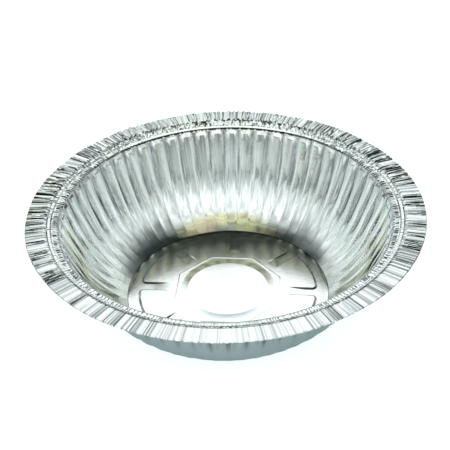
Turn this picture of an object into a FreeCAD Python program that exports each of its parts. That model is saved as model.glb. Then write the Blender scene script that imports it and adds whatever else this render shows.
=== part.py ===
import FreeCAD, Part
import math
import os

# A round food container pressed from one disc of aluminium foil: an embossed base, a fluted bowl wall,
# a lid seat between two steps, and a flange gathered into fine pleats.
# Millimetres and degrees. The Z axis is the container's own axis, and it stands on Z = 0.

foil_thickness = 0.1

# Bowl wall, from the edge of the standing ring up to the lid seat's step
foot_radius = 61.4
mouth_radius = 96.0
wall_height = 56.1
foot_slope = 30.7       # degrees above the level, where the wall leaves the base
mouth_slope = 75.6      # degrees above the level, where the wall meets the step
wall_fullness = 0.36    # length of the curve's handles, as a share of the wall's chord

# Flutes pressed into the wall: panels that stand inwards, with narrow grooves between them
flute_count = 60
flute_depth = 2.0       # at the deepest place; the flutes fade out towards the foot
deepest_share = 0.7     # that place, as a share of the wall's length below the rounded tops
flute_top_depth = 1.2   # at the foot of the rounded tops
groove_share = 0.4      # groove's width as a share of the flute pitch
shoulder_share = 0.75   # how far the panel's shoulders stand in, as a share of the depth
arch_height = 2.4       # height over which each panel closes in a rounded top
arch_corner_share = 0.4  # how much of the shoulders is left halfway up the rounded top
wall_bands = 5          # rows of facets between the foot and the rounded tops

# Lid seat and the steps on both sides of it
seat_step_run = 1.5
seat_step_height = 2.1
seat_width = 2.7
rim_step_run = 4.2
rim_step_height = 2.3

# Flange
flange_width = 10.6
pleats_per_flute = 3
pleat_height = 1.2      # from valley to ridge at the rim
pleat_unevenness = 0.5  # share of its height that a pleat may lose

# Embossed base: a standing ring joined to eight ribs, raised panels between them, and a raised disc
rib_count = 8
rib_width = 5.0
ring_width = 6.6
panel_rise = 0.7
panel_corner_radius = 3.4
corner_chords = 3       # facets round each of a panel's outer corners
panel_arc_chords = 6    # facets along a panel's outer edge
flank_run = 0.9         # plan width of each panel's sloping flank
octagon_flats = 62.0    # across the flats of the eight-sided step round the disc
octagon_rise = 0.3
octagon_flank_run = 0.4
octagon_line_width = 1.4
disc_radius = 24.7
disc_rise = 0.5         # above the eight-sided step
disc_ledge = 1.3        # level width left between the eight-sided step and the slope round the disc
disc_slope_run = octagon_flats / 2 - octagon_flank_run - disc_ledge - disc_radius
disc_chords = 40

golden_angle = 180.0 * (3.0 - math.sqrt(5.0))
flat_tolerance = 1e-6


def vector_at(radius, angle, height):
    """Point at a radius, an angle in degrees and a height."""
    turn = math.radians(angle)
    return FreeCAD.Vector(radius * math.cos(turn), radius * math.sin(turn), height)


def wall_curve():
    """Outer side of the wall in the radius-height plane, as a Bezier edge from the foot to the mouth."""
    foot = FreeCAD.Vector(foot_radius, 0, 0)
    mouth = FreeCAD.Vector(mouth_radius, 0, wall_height)
    handle = wall_fullness * (mouth - foot).Length
    foot_turn = math.radians(foot_slope)
    mouth_turn = math.radians(mouth_slope)
    foot_handle = foot + FreeCAD.Vector(math.cos(foot_turn), 0, math.sin(foot_turn)) * handle
    mouth_handle = mouth - FreeCAD.Vector(math.cos(mouth_turn), 0, math.sin(mouth_turn)) * handle
    curve = Part.BezierCurve()
    curve.setPoles([foot, foot_handle, mouth_handle, mouth])
    return curve.toShape()


def depth_at(share):
    """Depth of the flutes at a share of the wall's length below the rounded tops."""
    if share < deepest_share:
        return flute_depth * share / deepest_share
    past = (share - deepest_share) / (1 - deepest_share)
    return flute_depth + (flute_top_depth - flute_depth) * past


def wall_profile():
    """Outer side of the wall from the foot to the mouth, as points of the outer profile."""
    edge = wall_curve()
    arch_start = edge.Length - arch_height
    profile = [(foot_radius, 0, "plain", 0)]
    for band in range(1, wall_bands + 1):
        share = band / wall_bands
        point = edge.valueAt(edge.getParameterByLength(arch_start * share))
        profile.append((point.x, point.z, "fluted", depth_at(share)))
    point = edge.valueAt(edge.getParameterByLength(arch_start + arch_height / 2))
    profile.append((point.x, point.z, "arched", flute_top_depth))
    profile.append((mouth_radius, wall_height, "plain", 0))
    return profile


def outer_profile():
    """Foil's outer side from foot to rim: radius, height, and the kind and depth of the pressing there."""
    profile = wall_profile()
    radius = mouth_radius + seat_step_run
    height = wall_height + seat_step_height
    profile.append((radius, height, "plain", 0))
    radius += seat_width
    profile.append((radius, height, "plain", 0))
    radius += rim_step_run
    height += rim_step_height
    profile.append((radius, height, "pleated", 0))
    radius += flange_width
    profile.append((radius, height, "pleated", 0))
    return profile


def inward_normals(profile):
    """Mitred unit-thickness offsets towards the container's inside, one for each profile point."""
    directions = [FreeCAD.Vector(0, 0, 1)]
    for start, end in zip(profile, profile[1:]):
        run = end[0] - start[0]
        rise = end[1] - start[1]
        length = math.hypot(run, rise)
        directions.append(FreeCAD.Vector(-rise / length, 0, run / length))
    directions.append(directions[-1])
    mitres = []
    for before, after in zip(directions, directions[1:]):
        mitres.append((before + after) / (1 + before.dot(after)))
    return mitres


def bay_shape(kind, bay):
    """Angles within one flute's bay, with how far each point is pressed in, for a kind of ring."""
    pitch = 360.0 / flute_count
    if kind == "plain":
        return [(0, 0), (pitch / 2, 0)]
    if kind in ("fluted", "arched"):
        shoulder = groove_share * pitch / 2
        press = shoulder_share if kind == "fluted" else shoulder_share * arch_corner_share
        return [(0, 0), (shoulder, press), (pitch / 2, 1), (pitch - shoulder, press)]
    creases = 2 * pleats_per_flute
    points = []
    for crease in range(creases):
        number = bay * creases + crease
        loss = pleat_unevenness * (1 + math.sin(math.radians(number * golden_angle))) / 2
        side = 1 if crease % 2 else -1
        points.append((crease * pitch / creases, side * (1 - loss)))
    return points


def skin_rings(profile, mitres, thickness):
    """Rings of points on one side of the foil, each a list of angle and point."""
    rim_radius = profile[-1][0]
    rings = []
    for (radius, height, kind, depth), mitre in zip(profile, mitres):
        ring = []
        for bay in range(flute_count):
            for angle, press in bay_shape(kind, bay):
                angle += bay * 360.0 / flute_count
                point_radius = radius + mitre.x * thickness
                point_height = height + mitre.z * thickness
                if kind in ("fluted", "arched"):
                    point_radius += mitre.x * press * depth
                    point_height += mitre.z * press * depth
                if kind == "pleated":
                    point_height += press * pleat_height / 2 * radius / rim_radius
                ring.append((angle, vector_at(point_radius, angle, point_height)))
        ring.append((ring[0][0] + 360, ring[0][1]))
        rings.append(ring)
    return rings


def ring_points(ring):
    """Points of a ring, without the one that closes it."""
    return [point for angle, point in ring[:-1]]


def facet(points):
    """Flat face through three or four points."""
    return Part.Face(Part.makePolygon(points + points[:1]))


def facets_between(a, b, c, d):
    """The face a-b-c-d as one flat facet where it is flat, and otherwise as two."""
    normal = (b - a).cross(c - a)
    if abs(normal.dot(d - a)) < flat_tolerance * normal.Length:
        return [facet([a, b, c, d])]
    if (a - c).Length < (b - d).Length:
        return [facet([a, b, c]), facet([a, c, d])]
    return [facet([a, b, d]), facet([b, c, d])]


def stitch(lower, upper):
    """Facets between two rings, whose points may differ in number, or one face where both lie level."""
    heights = [point.z for angle, point in lower + upper]
    if max(heights) - min(heights) < flat_tolerance:
        return [level_face(ring_points(upper), [ring_points(lower)])]
    faces = []
    low = 0
    high = 0
    while low < len(lower) - 1 or high < len(upper) - 1:
        next_low = lower[low + 1][0] if low < len(lower) - 1 else math.inf
        next_high = upper[high + 1][0] if high < len(upper) - 1 else math.inf
        if abs(next_low - next_high) < flat_tolerance:
            faces += facets_between(lower[low][1], lower[low + 1][1], upper[high + 1][1], upper[high][1])
            low += 1
            high += 1
        elif next_low < next_high:
            faces.append(facet([lower[low][1], lower[low + 1][1], upper[high][1]]))
            low += 1
        else:
            faces.append(facet([lower[low][1], upper[high + 1][1], upper[high][1]]))
            high += 1
    return faces


def level_face(outline, holes):
    """Level face inside one outline and outside others, all given as lists of points."""
    wires = [Part.makePolygon(points + points[:1]) for points in [outline] + holes]
    return Part.makeFace(wires, "Part::FaceMakerBullseye")


def arc_points(centre, radius, start, end, chords):
    """Points along a level arc between two angles, its ends included."""
    turns = [start + (end - start) * step / chords for step in range(chords + 1)]
    return [centre + vector_at(radius, turn, 0) for turn in turns]


def panel_outline(inset, height, turn):
    """Points round one raised base panel, moved in by an inset, between two ribs."""
    bay_angle = 360.0 / rib_count
    side = rib_width / 2 + inset
    outer = foot_radius - ring_width - inset
    inner = octagon_flats / 2 + octagon_line_width + inset
    corner = panel_corner_radius - inset
    corner_centre = FreeCAD.Vector(math.sqrt((outer - corner) ** 2 - (side + corner) ** 2), side + corner, 0)
    lean = math.degrees(math.atan2(corner_centre.y, corner_centre.x))
    half = [FreeCAD.Vector(inner, side, 0)] + arc_points(corner_centre, corner, -90, lean, corner_chords)
    axis = vector_at(1, bay_angle / 2, 0)
    mirrored = [axis * (2 * axis.dot(point)) - point for point in reversed(half)]
    outer_arc = arc_points(FreeCAD.Vector(), outer, lean, bay_angle - lean, panel_arc_chords)
    tip = vector_at(inner / math.cos(math.radians(bay_angle / 2)), bay_angle / 2, 0)
    turned = FreeCAD.Rotation(FreeCAD.Vector(0, 0, 1), turn)
    lift = FreeCAD.Vector(0, 0, height)
    return [turned.multVec(point) + lift for point in half + outer_arc[1:-1] + mirrored + [tip]]


def polygon_outline(radius, height, sides):
    """Corners of a regular polygon round the Z axis, one of its sides facing along X."""
    return [vector_at(radius, (side + 0.5) * 360.0 / sides, height) for side in range(sides)]


def flank_faces(lower, upper):
    """Sloping facets between two outlines with matching points."""
    return [
        facet([lower[step - 1], lower[step], upper[step], upper[step - 1]])
        for step in range(len(lower))
    ]


def base_skin(foot_ring, level):
    """One side of the embossed base, at a floor level: floor, panels, eight-sided step and disc."""
    faces = []
    holes = []
    for bay in range(rib_count):
        turn = bay * 360.0 / rib_count
        low = panel_outline(0, level, turn)
        high = panel_outline(flank_run, level + panel_rise, turn)
        faces += flank_faces(low, high)
        faces.append(level_face(high, []))
        holes.append(low)
    step_level = level + octagon_rise
    corner_reach = 1 / math.cos(math.radians(180.0 / rib_count))
    step_low = polygon_outline(octagon_flats / 2 * corner_reach, level, rib_count)
    step_high_radius = (octagon_flats / 2 - octagon_flank_run) * corner_reach
    step_high = polygon_outline(step_high_radius, step_level, rib_count)
    disc_low = polygon_outline(disc_radius + disc_slope_run, step_level, disc_chords)
    disc_high = polygon_outline(disc_radius, step_level + disc_rise, disc_chords)
    faces += flank_faces(step_low, step_high)
    faces += flank_faces(disc_low, disc_high)
    faces.append(level_face(step_high, [disc_low]))
    faces.append(level_face(disc_high, []))
    faces.append(level_face(ring_points(foot_ring), holes + [step_low]))
    return faces


def foil_container():
    """The whole container as one solid of foil."""
    profile = outer_profile()
    mitres = inward_normals(profile)
    outer = skin_rings(profile, mitres, 0)
    inner = skin_rings(profile, mitres, foil_thickness)
    faces = []
    for rings, level in ((outer, 0), (inner, foil_thickness)):
        faces += base_skin(rings[0], level)
        for lower, upper in zip(rings, rings[1:]):
            faces += stitch(lower, upper)
    faces += stitch(outer[-1], inner[-1])
    shell = Part.makeShell(faces)
    shell.sewShape()
    return Part.makeSolid(shell)


os.makedirs("parts", exist_ok=True)
container = foil_container()
container.exportStep("parts/foil_container.step")
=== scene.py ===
"""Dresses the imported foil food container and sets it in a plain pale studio.

The container is one disc of rolled aluminium foil, pressed into an embossed base, a fluted bowl wall, a lid
seat between two steps and a flange that is gathered into fine wrinkles, with its edge turned under.
Sizes in the classes are millimetres and degrees, as on a drawing; Blender's own units are metres.
"""

from __future__ import annotations

import logging
import math
import random
from bisect import bisect_left
from collections.abc import Callable
from dataclasses import dataclass, field
from enum import Enum

import bpy
from bpy.types import Material, Mesh, MeshEdge, Node, NodeSocket, NodeTree, Object, World
from mathutils import Matrix, Vector, noise

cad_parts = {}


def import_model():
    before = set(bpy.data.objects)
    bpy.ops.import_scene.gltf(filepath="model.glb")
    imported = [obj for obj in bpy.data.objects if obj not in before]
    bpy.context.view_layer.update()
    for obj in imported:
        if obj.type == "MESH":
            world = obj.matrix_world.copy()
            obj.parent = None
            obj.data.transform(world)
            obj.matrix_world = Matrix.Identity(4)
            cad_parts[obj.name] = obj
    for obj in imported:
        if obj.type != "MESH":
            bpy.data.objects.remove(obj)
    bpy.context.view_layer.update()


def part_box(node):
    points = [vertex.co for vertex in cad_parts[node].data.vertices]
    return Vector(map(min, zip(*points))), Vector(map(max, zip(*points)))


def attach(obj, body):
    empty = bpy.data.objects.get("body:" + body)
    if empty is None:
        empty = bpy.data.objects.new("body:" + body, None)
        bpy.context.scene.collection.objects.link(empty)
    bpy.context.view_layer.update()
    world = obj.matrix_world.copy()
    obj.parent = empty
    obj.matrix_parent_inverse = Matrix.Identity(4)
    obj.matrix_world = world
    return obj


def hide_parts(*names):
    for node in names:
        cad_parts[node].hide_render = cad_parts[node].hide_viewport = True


LOG = logging.getLogger("foil_container")
MM = 0.001
NODE = "foil_container"
# Point layer that holds painted shade for the wall's grooves and streaks and the flange's gathers.
PAINTED_SHADE_LAYER = "painted_shade_share"
MERGE_GAP = 0.004  # two points nearer than this become one
CLOSE = 0.01  # a point this near to a ring or a level lies on it
ROUNDING = 1e-6  # a sum of lengths may be off by this
FOOT_RADIUS = 61.4  # of the standing ring
CAMERA_TURN = 6.5  # degrees anticlockwise from the -Y axis to the camera's side
FIRST_COLOUR, SECOND_COLOUR, MIXED_COLOUR = 6, 7, 2  # a Mix node's colour inputs and output, by number


def linear(colour: str) -> tuple[float, float, float, float]:
    """Turns an sRGB hex colour into the linear one that a shader takes.

    Args:
        colour: Six hex digits after a hash, such as "#E8EAEA".

    Returns:
        Linear red, green and blue with full opacity.
    """
    shares = [int(colour[start:start + 2], 16) / 255 for start in (1, 3, 5)]
    levels = [share / 12.92 if share <= 0.04045 else ((share + 0.055) / 1.055) ** 2.4 for share in shares]
    return (levels[0], levels[1], levels[2], 1.0)


def fresh_tree(owner: Material | World) -> NodeTree:
    """Empties the node tree of a new material or world.

    Args:
        owner: The material or world.

    Returns:
        Its node tree.
    """
    owner.use_nodes = True
    owner.node_tree.nodes.clear()
    return owner.node_tree


def add_node(
    tree: NodeTree, kind: str, inputs: dict[str | int, object] | None = None, **settings: object
) -> Node:
    """Adds one node with its settings, and sets or links its inputs.

    Args:
        tree: Node tree that takes the node.
        kind: Blender's type name of the node, without the "ShaderNode" that all of them start with.
        inputs: Values or output sockets, by the name or number of the input they go to.
        **settings: Attributes of the node itself.

    Returns:
        The new node.
    """
    node = tree.nodes.new("ShaderNode" + kind)
    for name, value in settings.items():
        setattr(node, name, value)
    for name, value in (inputs or {}).items():
        if isinstance(value, NodeSocket):
            tree.links.new(value, node.inputs[name])
        else:
            node.inputs[name].default_value = value
    return node


def set_ramp(node: Node, stops: list[tuple[float, str]]) -> None:
    """Gives a colour ramp its stops.

    Args:
        node: Colour ramp node.
        stops: Position and sRGB hex colour of each stop, in order.
    """
    elements = node.color_ramp.elements
    while len(elements) > 1:
        elements.remove(elements[-1])
    elements[0].position = stops[0][0]
    elements[0].color = linear(stops[0][1])
    for position, colour in stops[1:]:
        elements.new(position).color = linear(colour)


def mix(start: float, end: float, share: float) -> float:
    """The value that lies a share of the way from a start to an end."""
    return start + (end - start) * share


def ease(value: float, start: float, end: float) -> float:
    """Eases from 0 to 1, level at both ends.

    Args:
        value: Where it is asked for.
        start: Value at which it is still 0.
        end: Value from which it is 1. It may lie below the start.

    Returns:
        A share from 0 to 1.
    """
    share = min(1.0, max(0.0, (value - start) / (end - start)))
    return share * share * (3 - 2 * share)


def towards_back(angle: float) -> float:
    """How far a bearing lies from the camera's side: -1 on that side and 1 on the far one."""
    return math.sin(math.radians(angle - CAMERA_TURN))


@dataclass(frozen=True)
class Grain:
    """Smooth unevenness that closes on itself round the container.

    Attributes:
        features: Rough number of bumps in a full turn.
        stretch: How fast it changes along the section; 0 gives straight strokes.
        seed: Offset that makes one pattern differ from another.
        middle: Mean value.
        swing: Most that it departs from the mean.
    """

    features: float
    stretch: float
    seed: float
    middle: float = 0.0
    swing: float = 1.0

    def at(self, angle: float, along: float = 0.0) -> float:
        """Finds the pattern's value.

        Args:
            angle: Degrees round the Z axis.
            along: Place along the section.

        Returns:
            The mean, more or less up to the swing.
        """
        reach = self.features / math.tau
        turn = math.radians(angle)
        across = reach * math.cos(turn) + self.seed
        ahead = reach * math.sin(turn) - self.seed
        up = along * self.stretch + self.seed
        return self.middle + self.swing * noise.noise(Vector((across, ahead, up)))


@dataclass(frozen=True)
class Creases:
    """Sharp folds at uneven places round the flange.

    Attributes:
        count: Number of folds in a full turn.
        wander: How many folds the places may drift by.
        seed: Offset that makes one set differ from another.
        stretch: How fast the places drift along the radius, so that folds aren't quite straight.
    """

    count: int
    wander: float
    seed: float
    stretch: float = 0.008

    def at(self, angle: float, radius: float) -> float:
        """Finds the height of the folds.

        Args:
            angle: Degrees round the Z axis.
            radius: Distance from the axis.

        Returns:
            A value from -1 in the valleys to 1 on the ridges.
        """
        slow = Grain(40, self.stretch, self.seed, swing=self.wander)
        quick = Grain(110, self.stretch, self.seed, swing=0.5 * self.wander)
        phase = (self.count * angle / 360 + slow.at(angle, radius) + quick.at(angle, radius)) % 1
        return 1 - 4 * abs(phase - 0.5)


class Zone(Enum):
    """Stretches of the foil's section, each pressed in its own way."""

    WALL = "wall"
    SEAT_STEP = "seat step"
    SEAT = "lid seat"
    RIM_STEP = "rim step"
    FLANGE = "flange"
    HEM = "hem"


@dataclass(frozen=True)
class Station:
    """One ring of the sheet before pressing.

    Attributes:
        radius: Distance from the container's axis.
        height: Height above the table.
        lean: Radial and vertical parts of the direction in which the press moves the foil.
        zone: Stretch of the section that the ring lies in.
        distance: Length along the wall from its foot, or the ring's place in its zone from 0 to 1.
    """

    radius: float
    height: float
    lean: tuple[float, float]
    zone: Zone
    distance: float


@dataclass(frozen=True)
class Flute:
    """One flute's own small differences.

    Attributes:
        strength: Share of the full depth.
        shift: How far its middle lies to one side, as a share of half its width.
        tilt: How much deeper it is at one side than in the middle.
    """

    strength: float
    shift: float
    tilt: float


@dataclass
class FlutedWall:
    """Bowl wall: a curve from the standing ring to the seat step, with panels pressed inwards."""

    foot_radius: float = FOOT_RADIUS
    mouth_radius: float = 96.25
    height: float = 57.0
    foot_slope: float = 30.7
    mouth_slope: float = 75.6
    fullness: float = 0.36
    curve_steps: int = 400  # fine enough to measure the curve by
    bands: int = 18
    arch_bands: int = 8
    flute_count: int = 60
    flute_depth: float = 2.1
    deepest_share: float = 0.65  # of the wall below the arches
    top_depth: float = 1.2
    rise_power: float = 1.9  # above 1, the flutes grow slowly near the foot
    groove_share: float = 0.4  # of half a flute's width
    groove_power: float = 1.3
    shoulder_share: float = 0.75  # of the depth, where the panel turns into the groove
    arch_height: float = 2.4
    arch_power: int = 4  # the higher, the flatter the arch's top
    arch_knee: float = 0.85  # the arch is steeper below this share of its closing
    arch_knee_depth: float = 0.72
    strength_range: tuple[float, float] = (0.78, 1.0)
    shift_limit: float = 0.2
    tilt_limit: float = 0.22
    seed: int = 11
    crinkle_height: float = 0.16
    crinkle_from: float = 0.15
    crinkle_full: float = 0.75
    coarse_crinkles: Grain = Grain(200, 0.05, 3.1, swing=0.8)
    fine_crinkles: Grain = Grain(420, 0.09, 7.7, swing=0.3)
    dents: Grain = Grain(34, 0.07, 1.3, swing=1.3)
    # Painted shade in the upper wall's grooves and in streaks on its panels, stored for the foil's colour.
    painted_shade_start: float = 0.48  # share of the wall's length
    back_painted_shade_start: float = 0.28
    start_falls: tuple[float, float] = (0.0, 0.5)  # how far towards the back the one turns into the other
    painted_shade_reach: float = 0.25
    streak_share: float = 0.4
    streaks: Grain = Grain(300, 0.03, 19.3, swing=2.4)
    back_calm: float = 0.6  # share of the painted shade that the very back lacks
    calm_from: float = 0.6  # how far towards the back the painted shade begins to calm
    flutes: list[Flute] = field(init=False)
    length: float = field(init=False)

    def __post_init__(self) -> None:
        """Draws each flute's own small differences and measures the curve."""
        draw = random.Random(self.seed)
        self.flutes = [
            Flute(
                draw.uniform(*self.strength_range),
                draw.uniform(-self.shift_limit, self.shift_limit),
                draw.uniform(-self.tilt_limit, self.tilt_limit),
            )
            for _ in range(self.flute_count)
        ]
        points = self.fine_points()
        self.length = sum((end - start).length for start, end in zip(points, points[1:]))

    def fine_points(self) -> list[Vector]:
        """Points close together along the wall's curve.

        Returns:
            Radius and height of each point, from the foot to the mouth.
        """
        foot = Vector((self.foot_radius, 0.0))
        mouth = Vector((self.mouth_radius, self.height))
        handle = self.fullness * (mouth - foot).length
        foot_turn = math.radians(self.foot_slope)
        mouth_turn = math.radians(self.mouth_slope)
        foot_handle = foot + handle * Vector((math.cos(foot_turn), math.sin(foot_turn)))
        mouth_handle = mouth - handle * Vector((math.cos(mouth_turn), math.sin(mouth_turn)))
        points = []
        for step in range(self.curve_steps + 1):
            share = step / self.curve_steps
            rest = 1 - share
            point = rest**3 * foot
            point += 3 * rest**2 * share * foot_handle
            point += 3 * rest * share**2 * mouth_handle
            point += share**3 * mouth
            points.append(point)
        return points

    def stations(self) -> list[Station]:
        """Rings up the wall, closer together where the flutes close in their rounded tops.

        Returns:
            The rings from the foot to the mouth.
        """
        plain = self.length - self.arch_height
        goals = [plain * band / self.bands for band in range(self.bands)]
        goals += [plain + self.arch_height * band / self.arch_bands for band in range(self.arch_bands + 1)]
        points = self.fine_points()
        rings = []
        walked = 0.0
        for start, end in zip(points, points[1:]):
            step = (end - start).length
            while goals and goals[0] <= walked + step + ROUNDING:
                place = start.lerp(end, (goals[0] - walked) / step)
                along = (end - start) / step
                rings.append(Station(place.x, place.y, (-along.y, along.x), Zone.WALL, goals.pop(0)))
            walked += step
        return rings

    def place_in_flute(self, angle: float) -> tuple[Flute, float]:
        """Finds a point's flute and its place across it.

        Args:
            angle: Degrees round the Z axis, with a groove at 0.

        Returns:
            The flute, and the place from -1 in one groove to 1 in the next.
        """
        bay, share = divmod(angle / (360 / self.flute_count), 1)
        flute = self.flutes[int(bay) % self.flute_count]
        across = 2 * share - 1
        return flute, across + flute.shift * (1 - across * across)

    def painted_shade_share(self, angle: float, distance: float) -> float:
        """Painted shade of the wall: most in the upper wall's grooves, with painted streaks across the
        panels, and none near the foot.

        Args:
            angle: Degrees round the Z axis, with a groove at 0.
            distance: Length along the wall from the foot.

        Returns:
            A share from 0 to 1.
        """
        across = self.place_in_flute(angle)[1]
        groove = ease(abs(across), 1 - self.groove_share, 1.0)
        streak = self.streak_share * ease(self.streaks.at(angle, distance), 0.0, 1.0)
        back = towards_back(angle)
        calm = 1 - self.back_calm * ease(back, self.calm_from, 1.0)
        start = mix(self.painted_shade_start, self.back_painted_shade_start, ease(back, *self.start_falls))
        return calm * max(groove, streak) * ease(distance / self.length, start, start + self.painted_shade_reach)

    def depth(self, angle: float, distance: float) -> float:
        """How deep the flutes are pressed.

        Args:
            angle: Degrees round the Z axis, with a groove at 0.
            distance: Length along the wall from the foot.

        Returns:
            Depth towards the inside of the bowl.
        """
        flute, across = self.place_in_flute(angle)
        shoulder = 1 - self.groove_share
        if abs(across) < shoulder:
            section = 1 - (1 - self.shoulder_share) * (across / shoulder) ** 2
        else:
            climb_out = max(0.0, (1 - abs(across)) / self.groove_share)
            section = self.shoulder_share * climb_out**self.groove_power
        section *= 1 + flute.tilt * across
        plain = self.length - self.arch_height
        share = distance / plain
        depth = self.flute_depth * min(1.0, share / self.deepest_share) ** self.rise_power
        depth -= (self.flute_depth - self.top_depth) * ease(share, self.deepest_share, 1.0)
        left = max(0.0, min(1.0, 1 - abs(across) ** self.arch_power - (distance - plain) / self.arch_height))
        if left < self.arch_knee:
            closing = self.arch_knee_depth * left / self.arch_knee
        else:
            closing = mix(self.arch_knee_depth, 1.0, (left - self.arch_knee) / (1 - self.arch_knee))
        return depth * flute.strength * section * closing

    def crinkle(self, angle: float, distance: float) -> float:
        """Fine upright creases left in the upper wall where the sheet had to shrink, and soft dents.

        Args:
            angle: Degrees round the Z axis.
            distance: Length along the wall from the foot.

        Returns:
            Depth towards the inside of the bowl.
        """
        share = ease(distance / self.length, self.crinkle_from, self.crinkle_full)
        creases = self.coarse_crinkles.at(angle, distance) + self.fine_crinkles.at(angle, distance)
        return self.crinkle_height * (share * creases + self.dents.at(angle, distance))

    def push(self, ring: Station, angle: float) -> float:
        """How far the press moves a point inwards.

        Args:
            ring: The point's ring.
            angle: Degrees round the Z axis.

        Returns:
            Depth towards the inside of the bowl. The ends of the wall have no crinkles.
        """
        depth = self.depth(angle, ring.distance)
        if 0 < ring.distance < self.length - CLOSE:
            depth += self.crinkle(angle, ring.distance)
        return depth


@dataclass
class GatheredFlange:
    """Lid seat, its two steps, the wrinkled flange round them and the turned-under hem."""

    level: float = 60.5
    flange_width: float = 10.6
    rim_step_run: float = 4.2
    rim_step_height: float = 2.3
    edge_round: float = 0.45
    # Out from the mouth and from the rim step, up from the lid seat, zone and place in it.
    mouth_section: tuple[tuple[float, float, Zone, float], ...] = (
        (1.1, -0.25, Zone.SEAT_STEP, 0.7),
        (1.35, -0.14, Zone.SEAT, 0.0),
        (1.8, -0.05, Zone.SEAT, 0.4),
    )
    step_section: tuple[tuple[float, float, Zone, float], ...] = (
        (-0.4, 0.0, Zone.SEAT, 1.0),
        (0.3, 0.12, Zone.RIM_STEP, 0.0),
        (1.0, 0.85, Zone.RIM_STEP, 0.3),
        (2.3, 1.15, Zone.RIM_STEP, 0.55),
        (3.0, 1.8, Zone.RIM_STEP, 0.8),
    )
    flange_bands: int = 4
    hem_height: float = 0.7
    hem_width: float = 3.2
    gathers: Creases = Creases(220, 2.4, 2.2)
    gather_height: float = 0.5
    gather_patches: Grain = Grain(150, 0.008, 8.4, middle=0.85, swing=0.9)
    fine_gathers: Creases = Creases(360, 2.6, 5.9)
    fine_height: float = 0.1
    fine_patches: Grain = Grain(260, 0.01, 4.6, middle=0.9, swing=0.9)
    swells: Grain = Grain(44, 0.03, 15.1, swing=0.5)
    calm_height: float = 0.27
    tight_height: float = 1.25
    calm_until: float = -0.7  # how far towards the back the flange stays calm
    tight_from: float = 0.8  # how far towards the back it is gathered tight
    step_opening: float = 0.45  # how far the gathers are open at the top of the rim step
    step_share: float = 0.55  # of their lift, which is all that the foot of the rim step lets them have
    flange_opening: float = 0.75  # how far they are open where the flange begins
    dimples: Grain = Grain(760, 9.0, 12.4, swing=0.3)
    rim_waves: Grain = Grain(16, 0.0, 9.2, swing=0.5)
    wave_start: float = 102.0
    wave_run: float = 13.0
    ridges: Creases = Creases(330, 2.0, 6.3, stretch=0.0)
    ridge_height: float = 0.17
    back_ridge_share: float = 0.5
    low_ridges_from: float = 0.75  # how far towards the back the ridges begin to get lower
    # Painted shade in the folds of the gathers, stored for the foil's colour.
    painted_shade_from_radius: float = 102.9
    painted_shade_patches: Grain = Grain(260, 0.0, 21.7, middle=0.6, swing=0.9)
    broad_shade_share: float = 0.6
    calm_flange_shade: float = 0.95  # how dark the painted shade would be in a flange that isn't gathered
    flange_shade_loss: float = 0.7  # how much of that a full tightness takes away
    quarter_shade: float = 0.6  # what the painted shade gains half-way between front, sides and back

    def stations(self, mouth_radius: float, mouth_height: float, rim_radius: float) -> list[Station]:
        """Rings from the wall's mouth to the end of the hem.

        Args:
            mouth_radius: Radius at which the wall ends.
            mouth_height: Height at which the wall ends.
            rim_radius: Radius of the container's edge.

        Returns:
            The rings in order.
        """
        level = self.level
        flange_radius = rim_radius - self.flange_width
        step_radius = flange_radius - self.rim_step_run
        seat_height = level - self.rim_step_height
        inwards = (-1.0, 0.0)
        upwards = (0.0, 1.0)
        rings = [Station(mouth_radius + 0.12, mouth_height + 0.3, inwards, Zone.SEAT_STEP, 0.3)]
        for start, section in ((mouth_radius, self.mouth_section), (step_radius, self.step_section)):
            for out, up, zone, place in section:
                rings.append(Station(start + out, seat_height + up, upwards, zone, place))
        rings.append(Station(flange_radius - 0.3, level - 0.15, upwards, Zone.RIM_STEP, 1.0))
        half = self.hem_height / 2
        start = flange_radius + self.edge_round
        end = rim_radius - half
        for band in range(self.flange_bands + 1):
            share = band / self.flange_bands
            rings.append(Station(mix(start, end, share), level, upwards, Zone.FLANGE, share))
        rings += [
            Station(rim_radius, level - half, upwards, Zone.HEM, 0.0),
            Station(end, level - self.hem_height, upwards, Zone.HEM, 0.1),
            Station(rim_radius - self.hem_width, level - self.hem_height, upwards, Zone.HEM, 1.0),
        ]
        return rings

    def tightness(self, angle: float) -> float:
        """How tightly the flange is gathered: most at the back and less towards the front."""
        share = ease(towards_back(angle), self.calm_until, self.tight_from)
        return mix(self.calm_height, self.tight_height, share)

    def lift(self, angle: float, radius: float, opened: float) -> float:
        """Height that the gathers add to the flange.

        Args:
            angle: Degrees round the Z axis.
            radius: Distance from the axis.
            opened: How far the gathers have opened, from 0 at the lid seat to 1 at the rim.

        Returns:
            Height above or below the flange's level.
        """
        broad = self.gather_height * self.gathers.at(angle, radius) * self.gather_patches.at(angle, radius)
        fine = self.fine_height * self.fine_gathers.at(angle, radius) * self.fine_patches.at(angle, radius)
        return self.tightness(angle) * (broad * opened + fine + self.swells.at(angle, radius) * opened)

    def ridge(self, angle: float) -> float:
        """Small ridges across the lid seat and its step, lowest at the very back.

        Args:
            angle: Degrees round the Z axis.

        Returns:
            Distance in the direction that the ring leans.
        """
        share = ease(towards_back(angle), self.low_ridges_from, 1.0)
        height = self.ridge_height * mix(1.0, self.back_ridge_share, share)
        return height * self.ridges.at(angle, 0.0)

    def push(self, ring: Station, angle: float) -> float:
        """How far the press and the gathering move a point.

        Args:
            ring: The point's ring.
            angle: Degrees round the Z axis.

        Returns:
            Distance in the direction that the ring leans.
        """
        if ring.zone in (Zone.SEAT_STEP, Zone.SEAT):
            return self.ridge(angle)
        if ring.zone is Zone.RIM_STEP:
            rise = self.lift(angle, ring.radius, self.step_opening * ring.distance)
            rise *= mix(self.step_share, 1.0, ring.distance)
            facet = self.tightness(angle) * self.dimples.at(angle, ring.distance)
            return rise + facet if ring.distance < 1 else rise
        opened = mix(self.flange_opening, 1.0, ring.distance) if ring.zone is Zone.FLANGE else 1.0
        return self.lift(angle, ring.radius, opened)

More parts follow.
